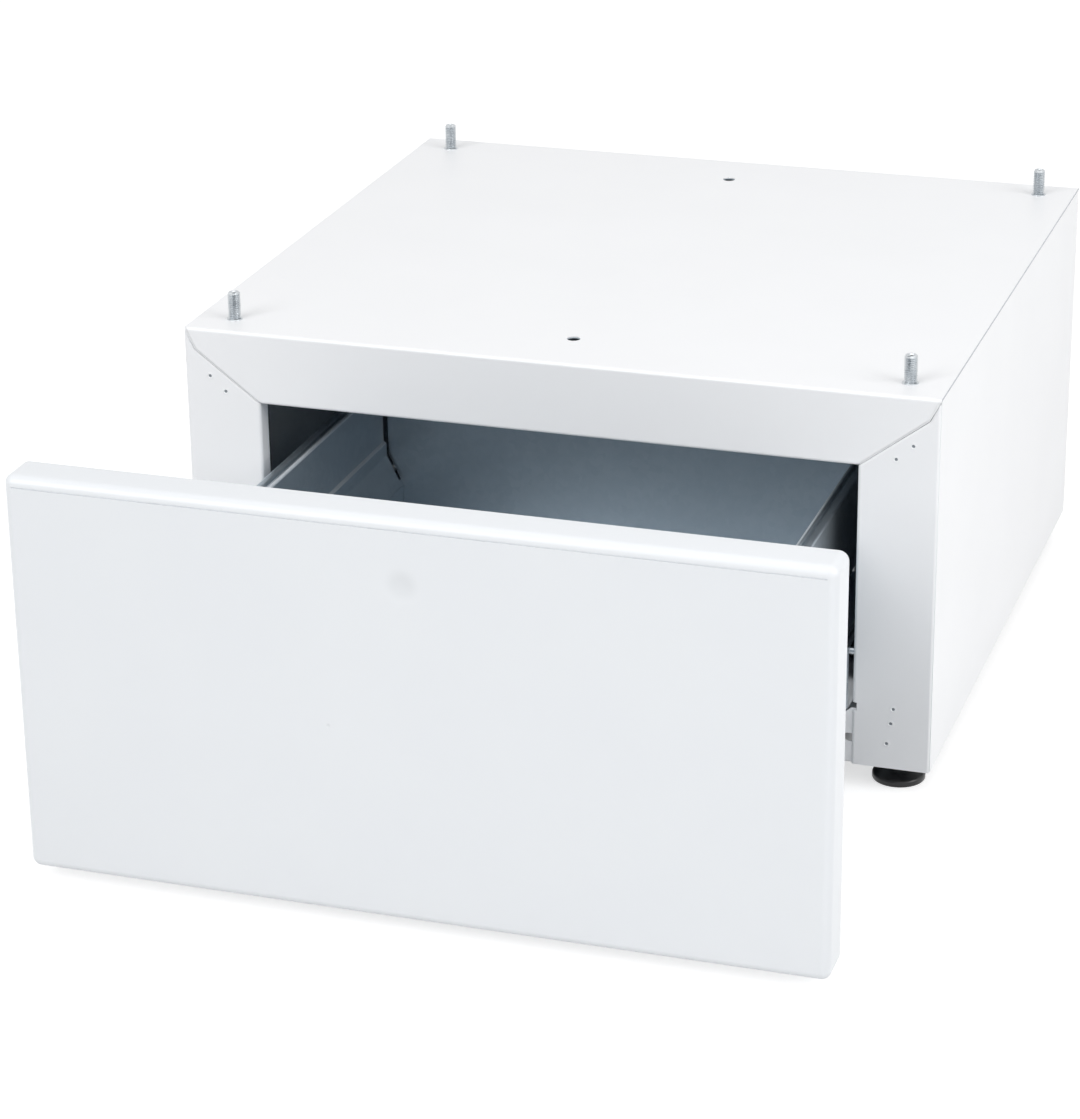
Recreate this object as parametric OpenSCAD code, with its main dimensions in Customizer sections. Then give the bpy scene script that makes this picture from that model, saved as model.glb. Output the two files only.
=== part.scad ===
// Washer pedestal with a pull-out drawer: a folded sheet-steel cabinet on four
// screw feet, four threaded studs on top for the machine, and a drawer on two
// ball-bearing slides. Millimetres, +Z up, the drawer pulls out along -Y.
// The origin lies on the floor, in the middle of the footprint of the pedestal
// with its drawer pulled out by drawer_out.

/* [Cabinet] */
// Width over the side panels
body_w = 596; // [520:1:700]
// Depth from the front frame's face to the rear face
body_d = 565; // [530:1:650]
// Height from the bottom edge to the top face
body_h = 300; // [280:1:380]
// Thickness of the cabinet's steel sheet
sheet = 1.5; // [1:0.1:2]
// Inside radius of every fold in the cabinet's sheet
fold_r = 1; // [0.4:0.1:2]
// Width of the flanges folded in at the bottom and rear edges
flange_w = 18; // [12:1:20]
// Width of the side panels' top flanges
top_flange_w = 8; // [6:1:9]

/* [Front frame] */
// Height of the frame's head, down to the drawer opening
head_h = 57.3; // [40:0.1:70]
// Width of each stile, up to the drawer opening
stile_w = 61; // [56:0.5:75]
// Depth of the flange folded back round the drawer opening
return_d = 14.5; // [8:0.5:20]
// How far in from the side the mitre seam has its bend
mitre_in = 8.5; // [4:0.5:20]
// How far below the top face the mitre seam has its bend
mitre_drop = 17.5; // [8:0.5:30]
// Width of the open mitre seam
seam = 0.35; // [0.1:0.05:0.8]
// Height of the relief notch in the stile, above the bottom rail
notch_h = 6.5; // [3:0.5:10]
// Depth of the relief notch in the stile
notch_d = 3.5; // [2:0.5:6]
// Height of the bottom rails
rail_h = 40; // [30:1:41]
// Rise of the bottom rail where it tucks behind the stile
rail_rise = 6; // [2:0.5:8]

/* [Studs and feet] */
// Distance of each stud and foot axis from the body's edges
stud_inset = 30; // [28:0.5:34]
// Radius of the threaded studs
stud_r = 5; // [3:0.5:6]
// Height of the studs above the top face
stud_h = 22; // [10:1:40]
// Radius of the two holes on the top's centre line
centre_hole_r = 5.25; // [3:0.25:8]
// Distance of the centre holes from the front and rear edges
centre_hole_inset = 57.5; // [40:0.5:120]
// Height that the feet hold the body above the floor
stand_h = 20.5; // [20:0.5:30]
// Radius of the foot pads
pad_r = 20.5; // [15:0.5:24]
// Height of the foot pads
pad_h = 10; // [9:0.5:11]
// Radius of the foot spindles at the middle of their thread
spindle_r = 4.5; // [3.5:0.5:5.5]
// Length of the foot spindles
spindle_l = 46; // [40:1:60]
// Radial running clearance of a spindle in its nuts and pad
turn_gap = 0.06; // [0.02:0.01:0.1]
// Width across the flats of the foot nuts
nut_flats = 17; // [14:0.5:18]

/* [Drawer] */
// How far the drawer stands out of the closed position
drawer_out = 285; // [0:1:450]
// Length of the drawer box behind its front
box_l = 472; // [456:1:480]
// Height of the box's rims above the body's bottom edge
rim_z = 200; // [170:1:225]
// Width of the rolled rims
rim_w = 12.5; // [9:0.5:16]
// Depth of the groove along the rims
groove_d = 2.4; // [1:0.1:4]
// Height of the upright part of the side walls above the ledge
wall_h = 50; // [20:1:50]
// Width of the ledge along the side walls
ledge_w = 2.5; // [1.5:0.5:5]
// How far the lower side walls lean in
lean_in = 12.6; // [6:0.1:20]
// Height of the leaning stretch
lean_h = 26; // [16:1:30]
// Thickness of the drawer's zinc-coated sheet
box_sheet = 1.2; // [0.8:0.1:1.5]
// Inside radius of the folds in the drawer's sheet
box_fold_r = 0.8; // [0.4:0.1:1.2]
// Depth of the slot between the side walls' rear ends and the back
back_slot = 4; // [2:0.5:8]

/* [Drawer front] */
// Height of the front
front_h = 305; // [280:1:380]
// Thickness of the front
front_t = 31; // [24:0.5:40]
// How far the front hangs below the body's bottom edge
front_drop = 10.5; // [0:0.5:14]
// Rounding of the front's edges
front_r = 7; // [4:0.5:12]
// Thickness of the front's skin
skin = 1.2; // [0.8:0.1:1.5]
// Width of the flange that returns round the front's rear edge
front_flange = 14; // [12:0.5:20]
// Gap between the shut front and the frame, filled by the bumpers
front_gap = 2; // [1:0.5:4]

/* [Slides] */
// Length of each slide member
slide_l = 450; // [400:10:450]
// Overall thickness of a slide
slide_t = 12.7; // [12.7:0.1:14]
// Gap from the drawer opening's edge to the slide's mounting face
slide_in = 6; // [4:0.5:8]
// Height of the slides' centre line above the bottom edge
slide_z = 64; // [63:0.5:66]
// Thickness of the slides' steel
slide_sheet = 1.2; // [1:0.05:1.3]
// Radius of the bearing balls
ball_r = 1.6; // [1.5:0.05:1.7]
// Clearance between a ball and its raceways
ball_gap = 0.06; // [0.03:0.01:0.1]
// Distance between neighbouring balls
ball_pitch = 15; // [6:1:20]
// Number of balls in each row
balls_in_row = 10; // [4:1:12]

/* [Hidden] */
$fn = 48;

white = "#e9ecf0";
zinc = "#8d949b";
bright = "#c3c7cb";
black = "#17181a";

// Half sizes and levels, all from the body's bottom edge and front face
half_w = body_w / 2;
open_x = half_w - stile_w;
open_z = body_h - head_h;
under_top = body_h - sheet;
in_side = half_w - sheet;
rear_in = body_d - 2 * sheet;
screw_head_h = 1.6;
stud_x = half_w - stud_inset;
eps = 0.01;

// Slide levels: u runs from the cabinet's face to the drawer's, v up from the centre
slide_x = open_x - slide_in;
box_x = slide_x - slide_t;
race_r = ball_r + ball_gap + slide_sheet / 2;
outer_ball = [slide_t - race_r - slide_sheet / 2 - 2 * race_r * cos(30), 19.6];
inner_ball = outer_ball + 2 * race_r * [cos(30), -sin(30)];
slide_half_h = outer_ball[1] + race_r + slide_sheet / 2;
inner_half_h = inner_ball[1] - ball_r - ball_gap;
slide_front = 6;
slide_mid_y = slide_front + slide_l / 2;

// Drawer box levels, with the drawer shut
box_front_y = -front_gap;
box_rear_y = box_front_y + box_l;
wall_x = box_x - 0.3 - rim_w;
low_x = wall_x - ledge_w - lean_in;
ledge_z = rim_z - wall_h;
ledge_drop = 11.6;
lean_top_z = ledge_z - ledge_drop;
lean_low_z = lean_top_z - lean_h;
skirt_share = 0.56;
skirt_z = lean_low_z + skirt_share * lean_h;
skirt_hem = 1.8;
floor_lap = 14;
back_lip = 9;
runner_low_z = slide_z - inner_half_h;
floor_z = runner_low_z + 3 * box_sheet;

// Feet
pad_top_z = pad_h - stand_h;
lock_nut_h = 5;
weld_nut_h = 8;
bracket_t = 3;
post_half = 18;
post_t = 2;
foot_bracket_half = 27;
foot_bracket_rear = 32;
foot_bracket_rim = 20;

// Place of the whole pedestal on its footprint
rear_reach = body_d + screw_head_h;
front_reach = drawer_out + front_gap + front_t;
mid_y = (rear_reach - front_reach) / 2;

// ---------- helpers ----------

function unit(v) = v / norm(v);
function left_of(v) = [-v[1], v[0]];
function turned(v, a) = [v[0] * cos(a) - v[1] * sin(a), v[0] * sin(a) + v[1] * cos(a)];
function backwards(p) = [for (i = [len(p) - 1:-1:0]) p[i]];
function flipped(p) = [for (q = p) [q[0], -q[1]]];
function arc(c, r, a0, a1, step = 12) = let (n = max(1, ceil(abs(a1 - a0) / step)))
    [for (i = [0:n]) c + r * [cos(a0 + (a1 - a0) * i / n), sin(a0 + (a1 - a0) * i / n)]];

// One face of the fold at b between the legs a-b and b-c
function fold_points(a, b, c, t, r, side) = let (
        d = unit(b - a),
        e = unit(c - b),
        turn = atan2(d[0] * e[1] - d[1] * e[0], d * e),
        k = sign(turn),
        mid = r + t / 2,
        centre = b - d * mid * tan(abs(turn) / 2) + k * mid * left_of(d),
        n = max(1, round(abs(turn) / 15)))
    [for (j = [0:n]) centre - k * (mid - k * side * t / 2) * turned(left_of(d), turn * j / n)];

function sheet_face(p, t, r, side) = let (last = len(p) - 1)
    [for (i = [0:last]) each
        i == 0 ? [p[0] + side * t / 2 * left_of(unit(p[1] - p[0]))]
        : i == last ? [p[i] + side * t / 2 * left_of(unit(p[i] - p[i - 1]))]
        : fold_points(p[i - 1], p[i], p[i + 1], t, r, side)];

// Section of a sheet of thickness t folded along the middle line p
module folded(p, t, r) {
    polygon(concat(sheet_face(p, t, r, 1), backwards(sheet_face(p, t, r, -1))));
}

// Section of a roll-formed strip whose middle line p is already curved
function strip_face(p, t, side) = let (last = len(p) - 1)
    [for (i = [0:last]) let (
        d = unit(p[min(i + 1, last)] - p[min(i, last - 1)]),
        e = unit(p[max(i, 1)] - p[max(i - 1, 0)]),
        m = unit(left_of(d) + left_of(e)))
        p[i] + side * t / 2 / (m * left_of(d)) * m];

module strip(p, t) {
    polygon(concat(strip_face(p, t, 1), backwards(strip_face(p, t, -1))));
}

// Section in x and z, drawn out from y0 to y1
module along_y(y0, y1) {
    translate([0, y1, 0]) rotate([90, 0, 0]) linear_extrude(y1 - y0) children();
}

// Section in y and z, drawn out from x0 to x1
module along_x(x0, x1) {
    translate([x0, 0, 0]) rotate([90, 0, 90]) linear_extrude(x1 - x0) children();
}

module box(low, high) {
    translate(low) cube(high - low);
}

// Cross recess for a driver, sunk upwards into a screw's head whose face is at z = 0
module cross_recess(reach, deep) {
    blade = reach / 4;
    for (turn = [0, 90]) rotate([0, 0, turn])
        box([-reach, -blade, -1], [reach, blade, deep]);
}

// Right-hand parts are drawn, left-hand ones are their mirror image
module left_hand() {
    mirror([1, 0, 0]) children();
}

// Moves a front corner part to one of the four corners
module corner(right, rear) {
    translate([0, rear ? body_d : 0, 0]) mirror([0, rear ? 1 : 0, 0])
        mirror([right ? 0 : 1, 0, 0]) children();
}

module each_corner() {
    for (right = [false, true], rear = [false, true]) corner(right, rear) children();
}

// Drawer parts are drawn shut, and moved out by their share of the travel
module pulled(share) {
    translate([0, -share * drawer_out, 0]) children();
}

// ---------- cabinet ----------

// Outline of one mitre seam, from the outer top corner to the opening's corner
mitre = [[half_w, body_h], [half_w - mitre_in, body_h - mitre_drop], [open_x, open_z]];

// What the mitre seam cuts off the head on the right
module head_cut() {
    polygon([mitre[0] + [eps, -sheet], mitre[0] + [1, -sheet], [half_w + 1, open_z - 1],
        mitre[2] + [0, -1], mitre[2], mitre[1]]);
}

// What the mitre seam leaves of the stile on the right
module stile_outline() {
    polygon([mitre[0] + [0, -sheet - seam], mitre[1] + [seam, -seam], mitre[2] + [0, -seam],
        [open_x, 0], [half_w, 0]]);
}

// Spot welds on the stile: how far in from its side, and down from the top or up
weld_marks_high = [[20, 38], [32.6, 49.5]];
weld_marks_low = [[29.4, 49.5], [31.1, 37.3], [33.9, 20.4]];
weld_mark_depth = 0.4;

module spot_weld(x, z) {
    r = 6;
    translate([x, weld_mark_depth - r, z]) sphere(r);
}

module top_panel() {
    z = under_top + sheet / 2;
    color(white) difference() {
        along_x(-half_w, half_w)
            folded([[body_d - sheet / 2, under_top - flange_w], [body_d - sheet / 2, z],
                [sheet / 2, z], [sheet / 2, open_z + sheet / 2],
                [return_d, open_z + sheet / 2]], sheet, fold_r);
        for (side = [0, 1]) mirror([side, 0, 0]) {
            along_y(-1, return_d + 1) head_cut();
            box([half_w - flange_w - seam, body_d - 3 * sheet, 0],
                [half_w + 1, body_d + 1, under_top]);
            along_y(sheet + seam, return_d + 1)
                polygon([[open_x - sheet - seam, 0], [half_w, 0], [half_w, open_z + 2 * sheet],
                    [open_x - sheet - seam, open_z + 2 * sheet]]);
            for (y = [stud_inset, body_d - stud_inset])
                translate([stud_x, y, under_top - 1]) cylinder(r = shank_r + 0.1, h = sheet + 2);
        }
        for (y = [centre_hole_inset, body_d - centre_hole_inset])
            translate([0, y, under_top - 1]) cylinder(r = centre_hole_r, h = sheet + 2);
    }
}

module side_panel() {
    x = half_w - sheet / 2;
    return_z = rail_h + rail_rise + notch_h - 1;
    color(white) difference() {
        union() {
            // Wall with its top and bottom flanges
            along_y(sheet / 2, body_d - sheet / 2)
                folded([[half_w - top_flange_w, under_top - sheet / 2], [x, under_top - sheet / 2],
                    [x, sheet / 2], [half_w - flange_w, sheet / 2]], sheet, fold_r);
            // Stile and rear flange
            linear_extrude(under_top)
                folded([[open_x + sheet / 2, return_d], [open_x + sheet / 2, sheet / 2],
                    [x, sheet / 2], [x, body_d - sheet / 2],
                    [half_w - flange_w, body_d - sheet / 2]], sheet, fold_r);
        }
        // Mitre seam
        along_y(-1, return_d + 1) difference() {
            polygon([[0, open_z - 60], [half_w - fold_r - sheet - top_flange_w, open_z - 60],
                [half_w - fold_r - sheet - top_flange_w, body_h], [0, body_h]]);
            stile_outline();
        }
        along_y(-1, sheet + fold_r) difference() {
            polygon([[half_w - 20, open_z], [half_w + 1, open_z],
                [half_w + 1, body_h], [half_w - 20, body_h]]);
            stile_outline();
        }
        // Relief notch, and no return flange behind the bottom rail
        box([0, -1, return_z - notch_h], [open_x + notch_d, return_d + 1, return_z]);
        box([0, sheet, -1], [open_x + sheet + fold_r + eps, return_d + 1, return_z]);
        at_back_screws() cylinder(r = 1.6, h = 4 * sheet, center = true);
        // The rear flange stops short of the top and bottom flanges
        box([0, body_d - 2 * sheet, under_top - sheet], [in_side, body_d + 1, under_top + 1]);
        for (at = weld_marks_high) spot_weld(half_w - at[0], body_h - at[1]);
        for (at = weld_marks_low) spot_weld(half_w - at[0], at[1]);
    }
}

module back_panel() {
    inset = 0.1;
    edge = in_side - fold_r - inset;
    color(white) difference() {
        box([-edge, rear_in, sheet + fold_r], [edge, body_d - sheet, under_top - fold_r]);
        for (side = [0, 1]) mirror([side, 0, 0])
            box([half_w - top_flange_w - inset, rear_in - 1, under_top - sheet - fold_r - inset],
                [half_w, body_d, body_h]);
        at_back_screws() cylinder(r = 1.6, h = 4 * sheet, center = true);
    }
}

// Eight screws in the rear flanges, with their axes along Y
module at_back_screws() {
    for (side = [-1, 1], z = [0.1, 0.37, 0.63, 0.9])
        translate([side * (half_w - flange_w / 2), body_d - sheet, z * body_h])
            rotate([-90, 0, 0]) children();
}

module back_screws() {
    color(bright) at_back_screws() difference() {
        union() {
            translate([0, 0, sheet]) cylinder(r1 = 3.2, r2 = 2.4, h = screw_head_h);
            translate([0, 0, -5]) cylinder(r = 1.5, h = 5 + sheet + eps);
        }
        translate([0, 0, sheet + screw_head_h]) mirror([0, 0, 1]) cross_recess(1.7, 1.1);
    }
}

// Where the rails' flanges end, clear of the posts and of the lock nuts
rail_lip_y = stud_inset - post_half - post_t / 2 - 0.5;
rail_foot_y = stud_inset - nut_flats / 2 / cos(30) - 0.7;

// Channel along the bottom of the opening, its ends tucked behind the stiles
module bottom_rail_front() {
    y = 1.5 * sheet;
    end_x = half_w - flange_w - seam;
    slot_x = open_x - 3.2;
    slot_l = 9.2;
    slot_r = 3.4;
    slot_z = 21.5;
    color(white) difference() {
        union() {
            along_x(-end_x, end_x)
                folded([[rail_lip_y, rail_h - sheet / 2], [y, rail_h - sheet / 2], [y, sheet / 2],
                    [rail_foot_y, sheet / 2]], sheet, fold_r);
            for (side = [0, 1]) mirror([side, 0, 0])
                along_y(sheet, 2 * sheet)
                    polygon([[open_x - slide_in - 2, rail_h - 4], [end_x, rail_h - 4],
                        [end_x, rail_h + rail_rise], [open_x - 1, rail_h + rail_rise],
                        [open_x - slide_in - 2, rail_h]]);
        }
        for (side = [0, 1]) mirror([side, 0, 0]) {
            for (x = [slot_x, slot_x + slot_l])
                translate([x, 0, slot_z]) rotate([-90, 0, 0]) cylinder(r = slot_r, h = 6);
            box([slot_x, 0, slot_z - slot_r], [slot_x + slot_l, 6, slot_z + slot_r]);
        }
    }
}

module bottom_rail_rear() {
    y = rear_in - sheet / 2;
    end_x = half_w - flange_w - seam;
    color(white) along_x(-end_x, end_x)
        folded([[body_d - rail_lip_y, rail_h - sheet / 2], [y, rail_h - sheet / 2],
            [y, sheet / 2], [body_d - rail_foot_y, sheet / 2]], sheet, fold_r);
}

stud_rail_h = 13;
stud_rail_half = 20;
stud_rail_crown = 13;

// Hat rail under the top, which carries the two studs of its side
module stud_rail() {
    low = under_top - stud_rail_h + sheet / 2;
    high = under_top - sheet / 2;
    color(zinc) difference() {
        along_y(2 * sheet, rear_in - 0.5)
            folded([[stud_x - stud_rail_half, high], [stud_x - stud_rail_crown, high],
                [stud_x - stud_rail_crown, low], [stud_x + stud_rail_crown, low],
                [stud_x + stud_rail_crown, high], [stud_x + stud_rail_half, high]],
                sheet, fold_r);
        for (y = [stud_inset, body_d - stud_inset])
            translate([stud_x, y, low - 3]) cylinder(r = shank_r + 0.1, h = 8);
    }
}

// Channel post from the foot bracket up to the stud rail
module post() {
    x = post_half - post_t / 2;
    color(zinc) translate([stud_x, stud_inset, sheet + bracket_t])
        linear_extrude(under_top - stud_rail_h - sheet - bracket_t)
            folded([[-x, post_half], [-x, -post_half], [x, -post_half], [x, post_half]],
                post_t, fold_r);
}

// Pressed plate that carries a foot and a post, on the bottom flanges
module foot_bracket() {
    z = sheet + bracket_t / 2;
    color(zinc) difference() {
        along_y(3 * sheet + fold_r + 0.5, stud_inset + foot_bracket_rear)
            folded([[stud_x - foot_bracket_half, foot_bracket_rim],
                [stud_x - foot_bracket_half, z], [in_side - bracket_t / 2, z],
                [in_side - bracket_t / 2, foot_bracket_rim]], bracket_t, fold_r);
        translate([stud_x, stud_inset, 0]) cylinder(r = spindle_r + 0.5, h = 10);
    }
}

shank_r = stud_r + 0.5;

// Stud with its head under the rail, a shank through rail and top, and a collar
module stud() {
    foot = under_top - stud_rail_h;
    collar_h = 0.8;
    translate([stud_x, stud_inset, 0]) difference() {
        union() {
            translate([0, 0, foot - 3]) cylinder(r = stud_r + 3, h = 3);
            translate([0, 0, foot - eps]) cylinder(r = shank_r, h = body_h - foot + 2 * eps);
            translate([0, 0, body_h]) cylinder(r = stud_r + 1.2, h = collar_h);
            translate([0, 0, body_h + collar_h - eps])
                cylinder(r = stud_r, h = stud_h - collar_h - 1 + eps);
            translate([0, 0, body_h + stud_h - 1 - eps])
                cylinder(r1 = stud_r, r2 = stud_r - 1, h = 1 + eps);
        }
        translate([0, 0, body_h + stud_h - 1.2]) cylinder(r1 = 0.6, r2 = stud_r - 2, h = 1.4);
    }
}

module studs() {
    color(bright) each_corner() stud();
}

module hex_nut(h) {
    difference() {
        cylinder(d = nut_flats / cos(30), h = h, $fn = 6);
        translate([0, 0, -1]) cylinder(r = spindle_r + turn_gap, h = h + 2);
    }
}

module weld_nuts() {
    color(zinc) each_corner()
        translate([stud_x, stud_inset, sheet + bracket_t]) hex_nut(weld_nut_h);
}

module lock_nuts() {
    color(bright) each_corner()
        translate([stud_x, stud_inset, sheet - lock_nut_h]) hex_nut(lock_nut_h);
}

// ---------- feet ----------

socket_d = 6.5;

module foot_pad() {
    hub = spindle_r + 5;
    color(black) translate([stud_x, stud_inset, -stand_h]) rotate_extrude()
        polygon(concat([[0, 0], [pad_r - 0.8, 0], [pad_r, 0.8], [pad_r, 3.6]],
            arc([pad_r - 2.2, 3.6], 2.2, 0, 70),
            [[hub + 1.5, pad_h - 1.6], [hub, pad_h - 0.6], [hub, pad_h],
            [spindle_r + turn_gap, pad_h], [spindle_r + turn_gap, pad_h - socket_d],
            [0, pad_h - socket_d]]));
}

module foot_spindle() {
    collar_h = 3;
    color(bright) translate([stud_x, stud_inset, pad_top_z]) {
        translate([0, 0, 0.3 - socket_d]) cylinder(r = spindle_r, h = spindle_l - 1);
        translate([0, 0, spindle_l - socket_d - 0.7 - eps])
            cylinder(r1 = spindle_r, r2 = spindle_r - 1, h = 1);
        translate([0, 0, 0.3]) cylinder(d = 13 / cos(30), h = collar_h, $fn = 6);
    }
}

// ---------- slides ----------

// Places a slide section, drawn as u and v, in x and z
module slide_section() {
    translate([slide_x, slide_z]) mirror([1, 0]) children();
}

function whole(top) = concat(backwards(flipped(top)), top);

module slide_member(share, top) {
    pulled(share) along_y(slide_front, slide_front + slide_l)
        slide_section() strip(whole(top), slide_sheet);
}

half_sheet = slide_sheet / 2;
outer_path = concat(arc([half_sheet + 1.2, slide_half_h - half_sheet - 1.2], 1.2, 180, 90),
    arc(outer_ball, race_r, 90, 25));
web_bend = outer_ball + (race_r + 1) * [cos(250), sin(250)];
middle_path = concat(arc(web_bend, 1, 180, 80), arc(outer_ball, race_r, 250, 330),
    arc(inner_ball, race_r, 138, -20));
inner_path = concat(arc([slide_t - half_sheet - 1.2, inner_half_h - half_sheet - 1.2], 1.2, 0, 90),
    arc(inner_ball, race_r, 270, 240));

screw_ys = [0.08, 0.36, 0.64, 0.92];

// Countersunk screws through a slide member, with their axes pointing out along u
module at_slide_screws(u, share) {
    pulled(share) for (k = screw_ys)
        translate([slide_x - u, slide_front + k * slide_l, slide_z]) rotate([0, 90, 0]) children();
}

module slide_screw(grow = 0) {
    translate([0, 0, -eps * grow]) cylinder(r1 = 4 + grow, r2 = 2.4 + grow, h = slide_sheet + eps * grow);
    cylinder(r = 2.4 + grow, h = slide_sheet + 3 * sheet + 3);
}

module slide_outer() {
    color(bright) difference() {
        slide_member(0, outer_path);
        at_slide_screws(slide_sheet, 0) slide_screw(0.05);
    }
}

module slide_middle() {
    color(bright) slide_member(0.5, middle_path);
}

module slide_inner() {
    color(bright) difference() {
        slide_member(1, inner_path);
        at_slide_screws(slide_t - slide_sheet, 1) mirror([0, 0, 1]) slide_screw(0.05);
    }
}

module screw_with_nut(grip) {
    difference() {
        slide_screw();
        cross_recess(1.8, 1);
    }
    translate([0, 0, slide_sheet + grip]) cylinder(d = 8 / cos(30), h = 3, $fn = 6);
}

module slide_screws() {
    color(bright) for (side = [0, 1]) mirror([side, 0, 0])
        at_slide_screws(slide_sheet, 0) screw_with_nut(sheet);
}

module runner_screws() {
    color(bright) for (side = [0, 1]) mirror([side, 0, 0])
        at_slide_screws(slide_t - slide_sheet, 1) mirror([0, 0, 1]) screw_with_nut(box_sheet);
}

// Places a ball in every pocket of one slide's cage
module at_balls(ball, share) {
    pulled(share) for (i = [0:balls_in_row - 1], up = [-1, 1])
        translate([slide_x - ball[0], slide_mid_y + (i - (balls_in_row - 1) / 2) * ball_pitch,
            slide_z + up * ball[1]]) children();
}

// Cage: a thin folded strip with a pocket for every ball
module cage(ball, share, web_u, arm_v, arm_u, t) {
    half = balls_in_row * ball_pitch / 2;
    color(bright) difference() {
        pulled(share) along_y(slide_mid_y - half, slide_mid_y + half) slide_section()
            folded([[arm_u, -arm_v], [web_u, -arm_v], [web_u, arm_v], [arm_u, arm_v]], t, 0.4);
        at_balls(ball, share) cylinder(r = ball_r + ball_gap, h = 6, center = true);
    }
}

module cage_outer() {
    cage(outer_ball, 0.25, (slide_sheet + web_bend[0] - 1 - half_sheet) / 2,
        outer_ball[1] + 0.8, outer_ball[0] - 0.4, 0.6);
}

module cage_inner() {
    cage(inner_ball, 0.75, web_bend[0] + half_sheet - 0.15,
        inner_ball[1] - 1.1, inner_ball[0] - 1.25, 0.5);
}

module balls_outer() {
    color(bright) at_balls(outer_ball, 0.25) sphere(ball_r);
}

module balls_inner() {
    color(bright) at_balls(inner_ball, 0.75) sphere(ball_r);
}

tie_y = 9;
tie_z = slide_z + slide_half_h + 3.5;
tie_edge = 6;
bracket_front_y = stud_inset + foot_bracket_rear + 2;
bracket_tail = 24;
bracket_foot = 18;

// Hat bracket that carries a slide off the side panel
module slide_bracket() {
    x = slide_x + sheet / 2;
    foot_x = in_side - sheet / 2;
    low = rail_h + 1 + sheet / 2;
    high = tie_z + tie_edge;
    color(zinc) difference() {
        union() {
            along_y(bracket_front_y, slide_front + slide_l + bracket_tail)
                folded([[foot_x, high + bracket_foot], [foot_x, high], [x, high], [x, low],
                    [foot_x, low], [foot_x, low - bracket_foot]], sheet, fold_r);
            box([slide_x, slide_front - 2, low - sheet / 2 + fold_r + sheet],
                [slide_x + sheet, bracket_front_y + eps, high + sheet / 2 - fold_r - sheet]);
        }
        at_slide_screws(slide_sheet, 0) slide_screw(0.05);
        translate([slide_x, tie_y, tie_z]) rotate([0, 90, 0]) cylinder(r = 2.1, h = 8, center = true);
    }
}

// Screw with a shoulder that ties the bracket's front end to the stile's flange
module tie_screws() {
    color(bright) for (side = [0, 1]) mirror([side, 0, 0])
        translate([slide_x, tie_y, tie_z]) rotate([0, 90, 0]) {
            difference() {
                translate([0, 0, -1.8]) cylinder(r1 = 1.8, r2 = 2.8, h = 1.8);
                translate([0, 0, -1.8]) cross_recess(1.3, 1);
            }
            cylinder(r = 2, h = sheet + eps);
            translate([0, 0, sheet]) cylinder(r = 3, h = slide_in - sheet);
        }
}

// ---------- drawer box ----------

// Middle line of the roll-formed side, from the skirt's hem round to the floor flange
side_path = let (h = box_sheet / 2, rim = rim_z - h, out = wall_x + rim_w - h)
    [[low_x + h + lean_in * skirt_share + skirt_hem, skirt_z + h], [out, skirt_z + h], [out, rim],
    [out - rim_w * 0.4, rim], [out - rim_w * 0.4, rim - groove_d],
    [wall_x + rim_w * 0.28, rim - groove_d], [wall_x + rim_w * 0.28, rim], [wall_x + h, rim],
    [wall_x + h, ledge_z + h], [wall_x - ledge_w + h, ledge_z - 1],
    [wall_x - ledge_w + h, lean_top_z], [low_x + h, lean_low_z],
    [low_x + h, floor_z - 1.5 * box_sheet], [low_x - floor_lap, floor_z - 1.5 * box_sheet]];

module box_side() {
    top_rear_y = box_rear_y - back_slot;
    color(zinc) pulled(1) difference() {
        along_y(box_front_y, box_rear_y + 10) folded(side_path, box_sheet, box_fold_r * 0.5);
        box([0, top_rear_y, lean_top_z - 1], [half_w, body_d, rim_z + 1]);
        box([low_x + box_sheet + 1, top_rear_y, lean_low_z + 1], [half_w, body_d, rim_z + 1]);
    }
}

module box_floor() {
    edge = low_x - box_fold_r;
    color(zinc) pulled(1) box([-edge, box_front_y, floor_z - box_sheet],
        [edge, box_rear_y, floor_z]);
}

module box_back() {
    y = box_rear_y + box_sheet / 2;
    gap = 0.1;
    color(zinc) pulled(1) intersection() {
        along_x(-half_w, half_w)
            folded([[y + back_lip, rim_z - box_sheet / 2], [y, rim_z - box_sheet / 2],
                [y, floor_z - box_sheet / 2], [y + back_lip, floor_z - box_sheet / 2]],
                box_sheet, box_fold_r);
        along_y(box_rear_y - 1, box_rear_y + 20)
            polygon([for (side = [1, -1]) each let (p = [[low_x - gap, 0],
                [low_x - gap, lean_low_z], [wall_x - ledge_w - gap, lean_top_z],
                [wall_x - ledge_w - gap, rim_z + 1]])
                [for (q = side > 0 ? p : backwards(p)) [side * q[0], q[1]]]]);
    }
}

module box_front() {
    y = box_front_y - box_sheet;
    reach = wall_x + rim_w;
    color(zinc) pulled(1) difference() {
        along_y(y, box_front_y)
            polygon([[-low_x - box_sheet, runner_low_z], [low_x + box_sheet, runner_low_z],
                [low_x + box_sheet, skirt_z], [reach, skirt_z], [reach, rim_z],
                [-reach, rim_z], [-reach, skirt_z], [-low_x - box_sheet, skirt_z]]);
        at_front_screws() cylinder(r = 2.1, h = 8, center = true);
    }
}

front_screw_rise = 22;

// Six screws that hold the box to the front, with their axes pointing forward:
// the upper three reach into the hollow of the stiffener
module at_front_screws() {
    for (x = [-0.8, 0, 0.8], z = [floor_z + front_screw_rise, front_mid_z])
        translate([x * low_x, box_front_y, z]) rotate([90, 0, 0]) children();
}

module front_screws() {
    color(bright) pulled(1) at_front_screws() {
        difference() {
            translate([0, 0, -2]) cylinder(r1 = 3, r2 = 4, h = 2);
            translate([0, 0, -2]) cross_recess(1.8, 1.2);
        }
        cylinder(r = 2, h = 9);
    }
}

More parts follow.
